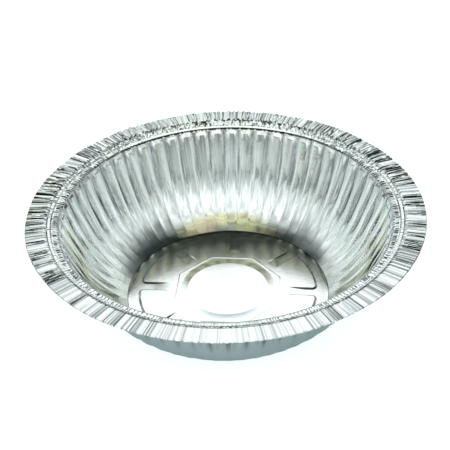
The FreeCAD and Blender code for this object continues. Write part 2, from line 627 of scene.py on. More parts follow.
    def wave(self, ring: Station, angle: float) -> float:
        """How far the uneven rim carries a point outwards, which is not at all inside the flange.

        Args:
            ring: The point's ring.
            angle: Degrees round the Z axis.

        Returns:
            Change of the point's radius.
        """
        if ring.zone not in (Zone.FLANGE, Zone.HEM):
            return 0.0
        return self.rim_waves.at(angle) * (ring.radius - self.wave_start) / self.wave_run

    def painted_shade_share(self, angle: float, radius: float) -> float:
        """Painted shade in the folds of the gathers, which shows as grey strokes where the flange is calm.

        Args:
            angle: Degrees round the Z axis.
            radius: Distance from the axis at which the gathers are taken.

        Returns:
            A share of about 0 to 1.
        """
        broad = ease(self.gathers.at(angle, radius), 1.0, -1.0)
        fine = ease(self.fine_gathers.at(angle, radius), 1.0, -1.0)
        patch = ease(self.painted_shade_patches.at(angle), 0.0, 1.0)
        quarter = abs(math.sin(2 * math.radians(angle - CAMERA_TURN)))
        # How strong the painted shade is here.
        shade_strength = self.calm_flange_shade - self.flange_shade_loss * self.tightness(angle) + self.quarter_shade * quarter
        return max(self.broad_shade_share * broad, fine) * patch * shade_strength


@dataclass
class EmbossedBase:
    """Base: a standing ring, a raised plate with ribs that fade out inwards, an eight-sided bead, a disc."""

    foot_radius: float = FOOT_RADIUS
    rib_count: int = 8
    rib_width: float = 5.0
    rib_end: float = 33.5
    rib_fade: float = 15.0
    rib_clearance: float = 0.3  # between a rib's flank and the place where it has faded out
    narrowing: float = 0.7  # share of the flank that a faded rib lacks
    ring_width: float = 6.6
    plate_rise: float = 0.7
    panel_corner_radius: float = 3.4
    fade_steps: int = 8
    corner_steps: int = 8
    arc_steps: int = 24
    flank_run: float = 1.4
    bead_flats: float = 62.0
    bead_width: float = 1.4
    bead_height: float = 0.1
    bead_corner: float = 1.6
    bead_step: float = 0.06
    disc_radius: float = 24.7
    disc_rise: float = 0.5
    disc_rise_power: float = 1.5
    disc_ledge: float = 0.5
    disc_bands: int = 7
    disc_steps: int = 120
    crease_width: float = 0.16
    crease_angle: float = 12.0  # sharper folds than this are rounded

    def build(self, columns: int) -> Object:
        """Models the base up to the edge of the standing ring.

        Args:
            columns: Number of points round the standing ring.

        Returns:
            The base as an open mesh object.
        """
        plate = self.build_plate()
        bead = self.build_bead()
        disc = self.build_disc()
        foot = add_circle(columns, self.foot_radius, 0.0, "NOTHING")
        base = join_meshes(foot, [plate, bead, disc])
        for level in (0.0, self.plate_rise, self.plate_rise + self.bead_step):
            self.fill_level(base, level)
        self.fade_ribs(base)
        self.soften_creases(base)
        return base

    def panel_edge(self) -> list[Vector]:
        """Edge of one panel of the plate, from one rib's end round the outer side to the next rib's end.

        Returns:
            Points in order, for the panel between the rib on the X axis and the next.
        """
        side = self.rib_width / 2
        outer = self.foot_radius - self.ring_width
        corner = self.panel_corner_radius
        centre = Vector((math.sqrt((outer - corner) ** 2 - (side + corner) ** 2), side + corner))
        lean = math.atan2(centre.y, centre.x)
        middle = math.pi / self.rib_count
        half = []
        for step in range(self.fade_steps + 1):
            half.append(Vector((self.rib_end + self.rib_fade * step / self.fade_steps, side)))
        for step in range(self.corner_steps + 1):
            angle = -math.pi / 2 + (lean + math.pi / 2) * step / self.corner_steps
            half.append(centre + corner * Vector((math.cos(angle), math.sin(angle))))
        arc = []
        for step in range(1, self.arc_steps):
            angle = lean + 2 * (middle - lean) * step / self.arc_steps
            arc.append(outer * Vector((math.cos(angle), math.sin(angle))))
        axis = Vector((math.cos(middle), math.sin(middle)))
        mirrored = [axis * (2 * axis.dot(point)) - point for point in reversed(half)]
        return half + arc + mirrored

    def build_plate(self) -> Object:
        """Models the sloping flank round the raised plate and along its ribs.

        Returns:
            The flank, with the plate inside it left open.
        """
        points: list[tuple[float, float, float]] = []
        edge = self.panel_edge()
        for bay in range(self.rib_count):
            spin = Matrix.Rotation(math.tau * bay / self.rib_count, 2)
            points += [(*(spin @ point * MM), 0.0) for point in edge]
        mesh = bpy.data.meshes.new("plate")
        mesh.from_pydata(points, [], [range(len(points))])
        plate = bpy.data.objects.new("plate", mesh)
        bpy.context.scene.collection.objects.link(plate)
        edit_all(plate)
        bpy.ops.mesh.inset(thickness=self.flank_run * MM, depth=self.plate_rise * MM)
        bpy.ops.mesh.delete(type="ONLY_FACE")
        bpy.ops.object.mode_set(mode="OBJECT")
        return plate

    def build_bead(self) -> Object:
        """Models the eight-sided bead on the plate.

        Returns:
            The bead, open in its middle.
        """
        reach = (self.bead_flats + self.bead_width) / 2 / math.cos(math.pi / self.rib_count)
        bead = add_circle(self.rib_count, reach, self.plate_rise, "NGON")
        bead.data.transform(Matrix.Rotation(math.pi / self.rib_count, 4, "Z"))
        edit_all(bead)
        bpy.ops.mesh.bevel(offset=self.bead_corner * MM, segments=4, affect="VERTICES")
        bpy.ops.mesh.select_all(action="SELECT")
        half = self.bead_width / 2 * MM
        bpy.ops.mesh.inset(thickness=half, depth=self.bead_height * MM)
        bpy.ops.mesh.inset(thickness=half, depth=(self.bead_step - self.bead_height) * MM)
        bpy.ops.mesh.delete(type="ONLY_FACE")
        bpy.ops.object.mode_set(mode="OBJECT")
        return bead

    def build_disc(self) -> Object:
        """Models the disc with the slope round it, which steepens towards the disc.

        Returns:
            The disc and its slope.
        """
        run = (self.bead_flats - self.bead_width) / 2 - self.disc_ledge - self.disc_radius
        disc = add_circle(self.disc_steps, self.disc_radius + run, self.plate_rise + self.bead_step, "NGON")
        edit_all(disc)
        level = 0.0
        for band in range(self.disc_bands):
            next_level = self.disc_rise * ((band + 1) / self.disc_bands) ** self.disc_rise_power
            bpy.ops.mesh.inset(thickness=run / self.disc_bands * MM, depth=(next_level - level) * MM)
            level = next_level
        bpy.ops.object.mode_set(mode="OBJECT")
        return disc

    def fill_level(self, base: Object, level: float) -> None:
        """Fills the level foil between the open outlines at one height.

        Args:
            base: Mesh object whose outlines are open.
            level: Height of the outlines.
        """
        uses = edge_uses(base.data)
        points = base.data.vertices

        def open_here(edge: MeshEdge) -> bool:
            """Whether an edge is open and lies at the level."""
            heights = [radius_height(points[end].co)[1] for end in edge.vertices]
            return uses[edge.key] < 2 and all(abs(height - level) < CLOSE for height in heights)

        select_edges(base, open_here)
        bpy.ops.object.mode_set(mode="EDIT")
        bpy.ops.mesh.fill(use_beauty=True)
        bpy.ops.object.mode_set(mode="OBJECT")

    def fade_ribs(self, base: Object) -> None:
        """Raises the inner ends of the ribs to the plate and narrows their flanks, so that they fade out.

        Args:
            base: The base with all its levels filled.
        """
        rib_pitch = math.tau / self.rib_count
        level_radius = self.rib_end + self.flank_run + self.rib_clearance
        deep_radius = self.rib_end + self.rib_fade
        for vertex in base.data.vertices:
            radius, height = radius_height(vertex.co)
            if height < CLOSE and radius < deep_radius:
                share = ease(radius, deep_radius, level_radius)
                turn = math.atan2(vertex.co.y, vertex.co.x)
                axis = round(turn / rib_pitch) * rib_pitch
                aside = self.narrowing * self.flank_run * share * math.copysign(1.0, turn - axis)
                rise = self.plate_rise * share
                vertex.co += Vector((-math.sin(axis) * aside, math.cos(axis) * aside, rise)) * MM

    def soften_creases(self, base: Object) -> None:
        """Rounds the creases at the foot and top of each flank.

        Args:
            base: The finished form of the base.
        """
        edit_all(base)
        bpy.ops.mesh.remove_doubles(threshold=MERGE_GAP * MM)
        bpy.ops.mesh.normals_make_consistent(inside=False)
        bpy.ops.mesh.select_all(action="DESELECT")
        bpy.ops.mesh.select_mode(type="EDGE")
        bpy.ops.mesh.edges_select_sharp(sharpness=math.radians(self.crease_angle))
        bpy.ops.mesh.bevel(offset=self.crease_width * MM, segments=2, affect="EDGES", clamp_overlap=True)
        bpy.ops.mesh.select_mode(type="VERT")
        bpy.ops.object.mode_set(mode="OBJECT")


def select_only(piece: Object) -> None:
    """Selects one object and nothing else.

    Args:
        piece: The object.
    """
    bpy.ops.object.select_all(action="DESELECT")
    piece.select_set(True)
    bpy.context.view_layer.objects.active = piece


def edit_all(piece: Object) -> None:
    """Opens an object for editing with all of it selected.

    Args:
        piece: The object.
    """
    select_only(piece)
    bpy.ops.object.mode_set(mode="EDIT")
    bpy.ops.mesh.select_all(action="SELECT")


def add_circle(points: int, radius: float, height: float, fill: str) -> Object:
    """Adds a level circle round the Z axis, with its place in its mesh.

    Args:
        points: Number of points.
        radius: Radius in millimetres.
        height: Height in millimetres.
        fill: Blender's fill type, "NOTHING" or "NGON".

    Returns:
        The new mesh object.
    """
    bpy.ops.object.select_all(action="DESELECT")
    bpy.ops.mesh.primitive_circle_add(
        vertices=points, radius=radius * MM, fill_type=fill, location=(0, 0, height * MM)
    )
    bpy.ops.object.transform_apply(location=True, rotation=True, scale=True)
    return bpy.context.object


def join_meshes(first: Object, others: list[Object]) -> Object:
    """Joins mesh objects into one.

    Args:
        first: Object that takes the others in.
        others: Objects that it takes in.

    Returns:
        The first object.
    """
    select_only(first)
    for piece in others:
        piece.select_set(True)
    bpy.ops.object.join()
    return first


def radius_height(point: Vector) -> tuple[float, float]:
    """A point's distance from the Z axis and its height, in millimetres."""
    return math.hypot(point.x, point.y) / MM, point.z / MM


def bearing(point: Vector) -> float:
    """A point's angle round the Z axis from the X axis, from 0 to 360 degrees."""
    return math.degrees(math.atan2(point.y, point.x)) % 360


def ring_at(rings: list[Station], radius: float) -> Station:
    """Finds the ring that lies at a radius.

    Args:
        rings: Rings in order of their radius.
        radius: Distance from the axis.

    Returns:
        The first ring at or beyond the radius, or the last one.
    """
    place = bisect_left(rings, radius - CLOSE, key=lambda ring: ring.radius)
    return rings[min(len(rings) - 1, place)]


def edge_uses(mesh: Mesh) -> dict[tuple[int, int], int]:
    """Counts how many faces use each edge of a mesh.

    Args:
        mesh: The mesh.

    Returns:
        The number of faces, by the edge's key.
    """
    uses = {edge.key: 0 for edge in mesh.edges}
    for face in mesh.polygons:
        for key in face.edge_keys:
            uses[key] += 1
    return uses


def select_edges(piece: Object, wanted: Callable[[MeshEdge], bool]) -> None:
    """Selects some edges of a piece and nothing else.

    Args:
        piece: The mesh object.
        wanted: Test that an edge passes if it is to be selected.
    """
    select_only(piece)
    mesh = piece.data
    for group in (mesh.polygons, mesh.vertices, mesh.edges):
        group.foreach_set("select", [False] * len(group))
    for edge in mesh.edges:
        if wanted(edge):
            edge.select = True
            for end in edge.vertices:
                mesh.vertices[end].select = True


@dataclass
class FoilContainer:
    """The whole container: one sheet of foil, modelled as a single skin and then given its thickness."""

    rim_radius: float
    foil_thickness: float = 0.1
    wall_columns: int = 720
    flange_columns: int = 1440
    crease_angle: float = 28.0  # sharper folds than this stay sharp
    gathers_start: float = 99.9  # beyond this radius each face stays flat
    painted_shade_radius: float = 100.0  # the flange's gathers are taken here for their painted shade
    wall: FlutedWall = field(default_factory=FlutedWall)
    flange: GatheredFlange = field(default_factory=GatheredFlange)
    base: EmbossedBase = field(default_factory=EmbossedBase)

    def build(self) -> Object:
        """Models the container.

        Returns:
            The finished piece, with its place in its mesh.
        """
        wall_rings = self.wall.stations()
        mouth = wall_rings[-1]
        flange_rings = self.flange.stations(mouth.radius, mouth.height, self.rim_radius)
        base = self.base.build(self.wall_columns)
        wall = self.draw_rings(wall_rings, self.wall_columns)
        flange = self.draw_rings(flange_rings, self.flange_columns)
        sheet = join_meshes(base, [wall, flange])
        self.join_skin(sheet, mouth, flange_rings[0])
        self.mark_painted_shade(sheet, wall_rings)
        self.press(sheet, wall_rings + flange_rings)
        self.thicken(sheet)
        sheet.name = "pressed_foil"
        sheet.data.name = "pressed_foil"
        return sheet

    def draw_rings(self, rings: list[Station], columns: int) -> Object:
        """Extrudes a circle through a list of rings.

        Args:
            rings: Rings in order, with growing or shrinking radius.
            columns: Number of points round each ring.

        Returns:
            The open surface through the rings.
        """
        piece = add_circle(columns, rings[0].radius, rings[0].height, "NOTHING")
        edit_all(piece)
        for before, after in zip(rings, rings[1:]):
            scale = after.radius / before.radius
            bpy.ops.mesh.extrude_edges_move()
            bpy.ops.transform.resize(value=(scale, scale, 1), center_override=(0, 0, 0))
            bpy.ops.transform.translate(value=(0, 0, (after.height - before.height) * MM))
        bpy.ops.object.mode_set(mode="OBJECT")
        return piece

    def join_skin(self, sheet: Object, mouth: Station, step: Station) -> None:
        """Closes the gap between wall and flange, merges the foot and turns all faces to one side.

        Args:
            sheet: Base, wall and flange in one mesh.
            mouth: Last ring of the wall.
            step: First ring of the seat step.
        """
        edit_all(sheet)
        bpy.ops.mesh.remove_doubles(threshold=MERGE_GAP * MM)
        bpy.ops.object.mode_set(mode="OBJECT")
        points = sheet.data.vertices

        def on_gap(edge: MeshEdge) -> bool:
            """Whether an edge lies on one side of the gap."""
            places = [radius_height(points[end].co) for end in edge.vertices]
            return any(
                all(abs(r - ring.radius) < CLOSE and abs(h - ring.height) < CLOSE for r, h in places)
                for ring in (mouth, step)
            )

        select_edges(sheet, on_gap)
        bpy.ops.object.mode_set(mode="EDIT")
        bpy.ops.mesh.bridge_edge_loops()
        bpy.ops.mesh.select_all(action="SELECT")
        bpy.ops.mesh.normals_make_consistent(inside=False)
        bpy.ops.object.mode_set(mode="OBJECT")
        middle = min(sheet.data.polygons, key=lambda face: face.center.length)
        if middle.normal.z > 0:
            edit_all(sheet)
            bpy.ops.mesh.flip_normals()
            bpy.ops.object.mode_set(mode="OBJECT")

    def mark_painted_shade(self, sheet: Object, wall_rings: list[Station]) -> None:
        """Stores the painted shade of each point of the wall and flange, for the foil's colour.

        Args:
            sheet: The unpressed skin.
            wall_rings: Rings from the foot to the mouth.
        """
        # Painted shade, stored for each point.
        folds = sheet.data.attributes.new(PAINTED_SHADE_LAYER, "FLOAT", "POINT")
        for vertex in sheet.data.vertices:
            radius = radius_height(vertex.co)[0]
            angle = bearing(vertex.co)
            if radius > self.flange.painted_shade_from_radius:
                folds.data[vertex.index].value = self.flange.painted_shade_share(angle, self.painted_shade_radius)
            elif self.wall.foot_radius < radius < self.wall.mouth_radius + CLOSE:
                folds.data[vertex.index].value = self.wall.painted_shade_share(angle, ring_at(wall_rings, radius).distance)

    def press(self, sheet: Object, rings: list[Station]) -> None:
        """Moves every point beyond the base as the press and the gathering do.

        Args:
            sheet: The unpressed skin.
            rings: All rings from the foot to the end of the hem.
        """
        hem = [ring for ring in rings if ring.zone is Zone.HEM]
        rising = [ring for ring in rings if ring.zone is not Zone.HEM]
        for vertex in sheet.data.vertices:
            radius, height = radius_height(vertex.co)
            if radius <= self.wall.foot_radius + CLOSE:
                continue
            if radius > hem[-1].radius - CLOSE and height < self.flange.level - CLOSE:
                ring = min(hem, key=lambda each: abs(each.radius - radius) + abs(each.height - height))
            else:
                ring = ring_at(rising, radius)
            vertex.co = self.pressed_point(ring, bearing(vertex.co)) * MM

    def pressed_point(self, ring: Station, angle: float) -> Vector:
        """Where the press leaves a point of a ring.

        Args:
            ring: The point's ring.
            angle: Degrees round the Z axis.

        Returns:
            The point in millimetres.
        """
        part = self.wall if ring.zone is Zone.WALL else self.flange
        push = part.push(ring, angle)
        turn = math.radians(angle)
        radius = ring.radius + self.flange.wave(ring, angle) + push * ring.lean[0]
        return Vector((radius * math.cos(turn), radius * math.sin(turn), ring.height + push * ring.lean[1]))

    def thicken(self, sheet: Object) -> None:
        """Gives the skin the foil's thickness towards the inside and smooths all but the creases, the
        gathered flange and the base, which stay flat.

        Args:
            sheet: The pressed skin, with its faces turned to the underside.
        """
        select_only(sheet)
        solid = sheet.modifiers.new("foil_thickness", "SOLIDIFY")
        solid.thickness = self.foil_thickness * MM
        solid.offset = -1.0
        bpy.ops.object.modifier_apply(modifier=solid.name)
        bpy.ops.object.shade_smooth_by_angle(angle=math.radians(self.crease_angle))
        for face in sheet.data.polygons:
            radius = radius_height(face.center)[0]
            if radius > self.gathers_start or radius < self.base.foot_radius:
                face.use_smooth = False


@dataclass(frozen=True)
class RolledFoil:
    """Bright rolled aluminium foil: mirror-like, with a soft haze, fine draw lines, small crinkles and
    painted shade in its folds.
    """

    colour: str = "#F8FAFA"
    dull_colour: str = "#F0F4F3"
    # Colour of the painted shade in the grooves, the gathers and round the standing ring.
    painted_shade_colour: str = "#364240"
    mottle_size: float = 26.0
    tone_band: tuple[float, float] = (0.35, 0.65)  # of the mottle, over which the colour changes
    haze_band: tuple[float, float] = (0.3, 0.7)  # of the mottle, over which the roughness changes
    roughness_range: tuple[float, float] = (0.05, 0.1)
    base_haze: float = 0.095
    base_haze_edge: float = 3.0
    # Strength of the painted shade in the grooves and gathers.
    groove_shade: float = 0.72
    streak_band: tuple[float, float] = (0.4, 0.6)  # of the draw lines, over which the shade changes
    streak_range: tuple[float, float] = (0.45, 1.35)
    foot_radius: float = FOOT_RADIUS
    # Painted shade in a thin line along the crease round the standing ring.
    painted_foot_shade_width: float = 0.35
    foot_fold_shade: float = 0.9
    crinkle_size: float = 3.2
    crinkle_height: float = 0.03
    draw_line_pitch: float = 0.9
    draw_line_height: float = 0.012
    draw_line_radius: float = 100.0  # the pitch holds here, and is finer further in
    draw_line_rate: float = 60.0  # changes along the lines in a metre of height

    def material(self) -> Material:
        """Builds the foil's material.

        Returns:
            A metal whose colour follows the foil's own mottle with painted shade over it, and whose roughness
            and bump follow the foil's own small features.
        """
        foil = bpy.data.materials.new("rolled_aluminium_foil")
        tree = fresh_tree(foil)
        place = add_node(tree, "TexCoord").outputs["Object"]
        flat = add_node(tree, "VectorMath", {0: place, 1: (1.0, 1.0, 0.0)}, operation="MULTIPLY").outputs[0]
        radius = add_node(tree, "VectorMath", {0: flat}, operation="LENGTH").outputs["Value"]
        mottle = add_node(
            tree, "TexNoise", {"Vector": place, "Scale": 1 / (self.mottle_size * MM), "Detail": 2.0}
        ).outputs["Fac"]
        lines = self.draw_lines(tree, place, flat)
        plain = add_node(tree, "ValToRGB", {"Fac": mottle})
        set_ramp(plain, list(zip(self.tone_band, (self.dull_colour, self.colour))))
        layers = {
            "Factor": self.folds(tree, radius, lines),
            FIRST_COLOUR: plain.outputs["Color"],
            SECOND_COLOUR: linear(self.painted_shade_colour),
        }
        finish = {
            "Base Color": add_node(tree, "Mix", layers, data_type="RGBA").outputs[MIXED_COLOUR],
            "Metallic": 1.0,
            "Roughness": self.haze(tree, mottle, radius),
            "Normal": self.relief(tree, place, lines),
        }
        metal = add_node(tree, "BsdfPrincipled", finish)
        add_node(tree, "OutputMaterial", {"Surface": metal.outputs["BSDF"]})
        return foil

    def draw_lines(self, tree: NodeTree, place: NodeSocket, flat: NodeSocket) -> NodeSocket:
        """Fine lines that run down the wall, where the foil was drawn over the press.

        Args:
            tree: The material's node tree.
            place: Object coordinates.
            flat: The same without their height.

        Returns:
            Height of the lines, between 0 and 1.
        """
        reach = self.draw_line_radius / self.draw_line_pitch
        unit = add_node(tree, "VectorMath", {0: flat}, operation="NORMALIZE").outputs[0]
        around = add_node(
            tree, "VectorMath", {0: unit, 1: (reach, reach, 0.0)}, operation="MULTIPLY"
        ).outputs[0]
        up = add_node(
            tree, "VectorMath", {0: place, 1: (0.0, 0.0, self.draw_line_rate)}, operation="MULTIPLY"
        ).outputs[0]
        both = add_node(tree, "VectorMath", {0: around, 1: up}, operation="ADD").outputs[0]
        return add_node(
            tree, "TexNoise", {"Vector": both, "Scale": 1.0, "Detail": 2.0, "Roughness": 0.5}
        ).outputs["Fac"]

    def folds(self, tree: NodeTree, radius: NodeSocket, lines: NodeSocket) -> NodeSocket:
        """Painted shade where the foil is folded: the wall's grooves, the gathers, and the crease round the
        standing ring.

        Args:
            tree: The material's node tree.
            radius: Distance from the container's axis, in metres.
            lines: Height of the draw lines, which break the painted shade into streaks.

        Returns:
            1 where the painted shade is darkest and 0 where none is painted.
        """
        # Painted shade along the crease where the wall leaves the standing ring.
        away = add_node(tree, "Math", {0: radius, 1: self.foot_radius * MM}, operation="SUBTRACT")
        gap = add_node(tree, "Math", {0: away.outputs[0]}, operation="ABSOLUTE").outputs[0]
        width = self.painted_foot_shade_width * MM
        painted_foot_shade = add_node(
            tree,
            "MapRange",
            {"Value": gap, "From Min": width, "From Max": 0.0, "To Max": self.foot_fold_shade},
        ).outputs["Result"]
        begin, finish = self.streak_band
        least, most = self.streak_range
        streaks = add_node(
            tree,
            "MapRange",
            {"Value": lines, "From Min": begin, "From Max": finish, "To Min": least, "To Max": most},
        ).outputs["Result"]
        # Painted shade from the stored layer, broken into streaks by the draw lines.
        shade = add_node(tree, "Math", {0: streaks, 1: self.groove_shade}, operation="MULTIPLY").outputs[0]
        stored = add_node(tree, "Attribute", attribute_name=PAINTED_SHADE_LAYER).outputs["Fac"]
        return add_node(
            tree, "Math", {0: stored, 1: shade, 2: painted_foot_shade}, operation="MULTIPLY_ADD", use_clamp=True
        ).outputs[0]

    def haze(self, tree: NodeTree, mottle: NodeSocket, radius: NodeSocket) -> NodeSocket:
        """Roughness of the metal, which is higher in the base, where the die has dulled it.

        Args:
            tree: The material's node tree.
            mottle: Soft clouds from the rolling mill, between 0 and 1.
            radius: Distance from the container's axis, in metres.

        Returns:
            The roughness.
        """
        begin, finish = self.haze_band
        low, high = self.roughness_range
        rolled = add_node(
            tree,
            "MapRange",
            {"Value": mottle, "From Min": begin, "From Max": finish, "To Min": high, "To Max": low},
        ).outputs["Result"]
        foot = self.foot_radius * MM
        edge = foot - self.base_haze_edge * MM
        dulled = add_node(
            tree,
            "MapRange",
            {"Value": radius, "From Min": edge, "From Max": foot, "To Min": self.base_haze, "To Max": 0.0},
        ).outputs["Result"]
        return add_node(tree, "Math", {0: rolled, 1: dulled}, operation="ADD").outputs[0]

    def relief(self, tree: NodeTree, place: NodeSocket, lines: NodeSocket) -> NodeSocket:
        """Small crinkles of handled foil, with the draw lines over them.

        Args:
            tree: The material's node tree.
            place: Object coordinates.
            lines: Height of the draw lines.

        Returns:
            The bumped normal.
        """
        crinkle = add_node(
            tree,
            "TexNoise",
            {"Vector": place, "Scale": 1 / (self.crinkle_size * MM), "Detail": 3.0, "Roughness": 0.6},
        ).outputs["Fac"]
        soft = add_node(
            tree, "Bump", {"Height": crinkle, "Distance": self.crinkle_height * MM, "Strength": 1.0}
        ).outputs["Normal"]
        return add_node(
            tree,
            "Bump",
            {"Height": lines, "Distance": self.draw_line_height * MM, "Strength": 1.0, "Normal": soft},
        ).outputs["Normal"]


Stops = tuple[tuple[float, int, int], ...]

# Degrees above the horizon, lightness and warmth, as in Sector.
NEAR_SIDE: Stops = (
    (0, 116, 0), (6, 150, 0), (11, 172, 0), (19, 216, 0), (26, 250, 0), (34, 254, 0), (43, 251, 0),
    (49, 238, 0), (55, 224, 1), (61, 214, 3), (65, 212, 4), (70, 204, 4), (75, 168, 2), (79, 108, 1),
    (83, 70, 2), (90, 70, 2),
)
FAR_SIDE: Stops = (
    (0, 62, 0), (10, 76, 0), (16, 144, 0), (21, 200, 0), (27, 220, 0), (32, 234, 0), (36, 248, 0),
    (38.5, 255, 0), (46.5, 255, 0), (49.5, 244, -1), (53, 208, -1), (57, 180, -1), (60, 140, 2),
    (64, 80, 3), (67, 38, 2), (71, 20, 1), (83, 18, 0), (90, 70, 2),
)


def room_tone(lightness: int, warmth: int) -> str:
    """Names a tone of the room, which is a slightly green grey unless it is warm.

    Args:
        lightness: Rough sRGB level from 0 to 255.
        warmth: Steps towards yellow. Below 0 it goes towards blue.

    Returns:
        An sRGB hex colour.
    """
    levels = (lightness - 5 + 2 * warmth, lightness + 3 + warmth, lightness + 1 - 7 * warmth)
    return "#" + "".join(f"{min(255, max(0, level)):02X}" for level in levels)


@dataclass(frozen=True)
class Sector:
    """One side of the room, from the horizon up to the ceiling.

    Attributes:
        bearing: Degrees to the right of the far side. The camera's side is at 180 and -180.
        stops: Degrees above the horizon, lightness and warmth, in order.
        uneven: Whether soft upright bands vary its brightness.
        patched: Whether it has small warm and green patches high up.
    """

    bearing: float
    stops: Stops
    uneven: bool = True
    patched: bool = False


@dataclass(frozen=True)
class Studio:
    """Plain pale floor and a soft room round it, which is the only light."""

    floor_size: float = 9000.0
    floor_colour: str = "#C3CFD2"
    open_colour: str = "#FFFFFF"
    shade_colour: str = "#A6DDF5"
    seen_shade_colour: str = "#E4EDEF"
    shade_reach: float = 110.0
    open_share: float = 0.9  # of the daylight, from which the floor shows no shade
    camera_fill: float = 0.9
    reflected_fill: float = 0.45
    covered_share: float = 0.13  # of the glow, which the deepest shade keeps
    covered_radius: float = 60.0  # just inside the standing ring
    room_strength: float = 1.3
    sectors: tuple[Sector, ...] = (
        Sector(-180, NEAR_SIDE, patched=True),
        Sector(
            -135,
            ((0, 190, 0), (11, 214, 0), (19, 210, 0), (26, 216, 0), (33, 248, 0), (46, 254, 0), (51, 244, 0),
             (56, 220, 0), (61, 194, 1), (66, 166, 2), (71, 118, 2), (75, 70, 1), (79, 40, 0), (84, 44, 1),
             (90, 70, 2)),
            patched=True,
        ),
        Sector(
            -90,
            ((0, 188, 0), (12, 206, 0), (20, 216, 0), (29, 214, 0), (36, 188, 0), (42, 150, 0), (47, 130, 0),
             (52, 108, 0), (57, 70, 0), (62, 42, 0), (68, 26, 1), (75, 18, 0), (83, 22, 0), (90, 70, 2)),
        ),
        Sector(
            -48,
            ((0, 62, 0), (9, 74, 0), (15, 164, 0), (19, 202, 0), (25, 226, 0), (29, 200, 0), (34, 112, 0),
             (39, 54, 0), (45, 34, 0), (53, 36, 0), (60, 40, 0), (66, 28, 0), (72, 18, 0), (83, 18, 0),
             (90, 70, 2)),
        ),
        Sector(-26, FAR_SIDE, uneven=False),
        Sector(26, FAR_SIDE, uneven=False),
        Sector(
            48,
            ((0, 62, 0), (9, 74, 0), (15, 152, 0), (20, 184, 0), (26, 160, 0), (32, 100, 0), (38, 52, 0),
             (44, 34, 0), (53, 36, 0), (60, 40, 0), (66, 28, 0), (72, 18, 0), (83, 18, 0), (90, 70, 2)),
        ),
        Sector(
            90,
            ((0, 164, 0), (12, 190, 0), (20, 200, 0), (29, 188, 0), (35, 148, 0), (40, 102, 0), (46, 70, 0),
             (52, 58, 0), (57, 48, 0), (62, 36, 0), (68, 26, 1), (75, 18, 0), (83, 22, 0), (90, 70, 2)),
        ),
        Sector(
            135,
            ((0, 150, 0), (11, 182, 0), (19, 204, 0), (26, 228, 0), (33, 248, 0), (46, 252, 0), (51, 242, 0),
             (56, 220, 0), (61, 196, 1), (66, 168, 3), (71, 120, 2), (75, 72, 1), (79, 40, 0), (84, 44, 1),
             (90, 70, 2)),
            patched=True,
        ),
        Sector(180, NEAR_SIDE, patched=True),
    )
    uneven_scale: float = 5.0
    uneven_rise: float = 0.4  # how fast the bands change upwards, as a share of how fast they do across
    uneven_band: tuple[float, float] = (0.38, 0.62)  # of the clouds, over which the brightness changes
    uneven_range: tuple[float, float] = (0.7, 1.15)
    patch_scale: float = 7.0
    patch_strength: float = 0.65
    patch_from: tuple[float, float] = (55.0, 61.0)  # degrees above the horizon where the patches come in
    patch_to: tuple[float, float] = (70.0, 77.0)  # degrees above the horizon where they go again
    patch_stops: tuple[tuple[float, str], ...] = (
        (0.32, "#3A4434"),
        (0.42, "#8C9474"),
        (0.5, "#DEE0A4"),
        (0.56, "#B9BCA8"),
        (0.62, "#D2AE8E"),
        (0.7, "#6C745C"),
    )

    def build(self) -> None:
        """Builds the floor and the room."""
        self.build_floor()
        self.build_room()

    def build_floor(self) -> None:
        """Adds the floor that the container stands on."""
        bpy.ops.object.select_all(action="DESELECT")
        bpy.ops.mesh.primitive_plane_add(size=self.floor_size * MM, location=(0, 0, 0))
        floor = bpy.context.object
        floor.name = "studio_floor"
        floor.data.materials.append(self.floor_material())

    def floor_material(self) -> Material:
        """Matt pale floor that reads as white and keeps the container's shade.

        Returns:
            The floor's material. It lets the view through from below, and where the container covers it.
        """
        paint = bpy.data.materials.new("pale_studio_floor")
        tree = fresh_tree(paint)
        matt = add_node(tree, "BsdfDiffuse", {"Color": linear(self.floor_colour)}).outputs[0]
        painted = add_node(tree, "AddShader", {0: matt, 1: self.floor_glow(tree)}).outputs[0]
        clear = add_node(tree, "BsdfTransparent").outputs[0]
        place = add_node(tree, "TexCoord").outputs["Object"]
        away = add_node(tree, "VectorMath", {0: place}, operation="LENGTH").outputs["Value"]
        under = add_node(
            tree, "Math", {0: away, 1: self.covered_radius * MM}, operation="LESS_THAN"
        ).outputs[0]
        below = add_node(tree, "NewGeometry").outputs["Backfacing"]
        unseen = add_node(tree, "Math", {0: below, 1: under}, operation="MAXIMUM").outputs[0]
        surface = add_node(tree, "MixShader", {0: unseen, 1: painted, 2: clear}).outputs[0]
        add_node(tree, "OutputMaterial", {"Surface": surface})
        return paint

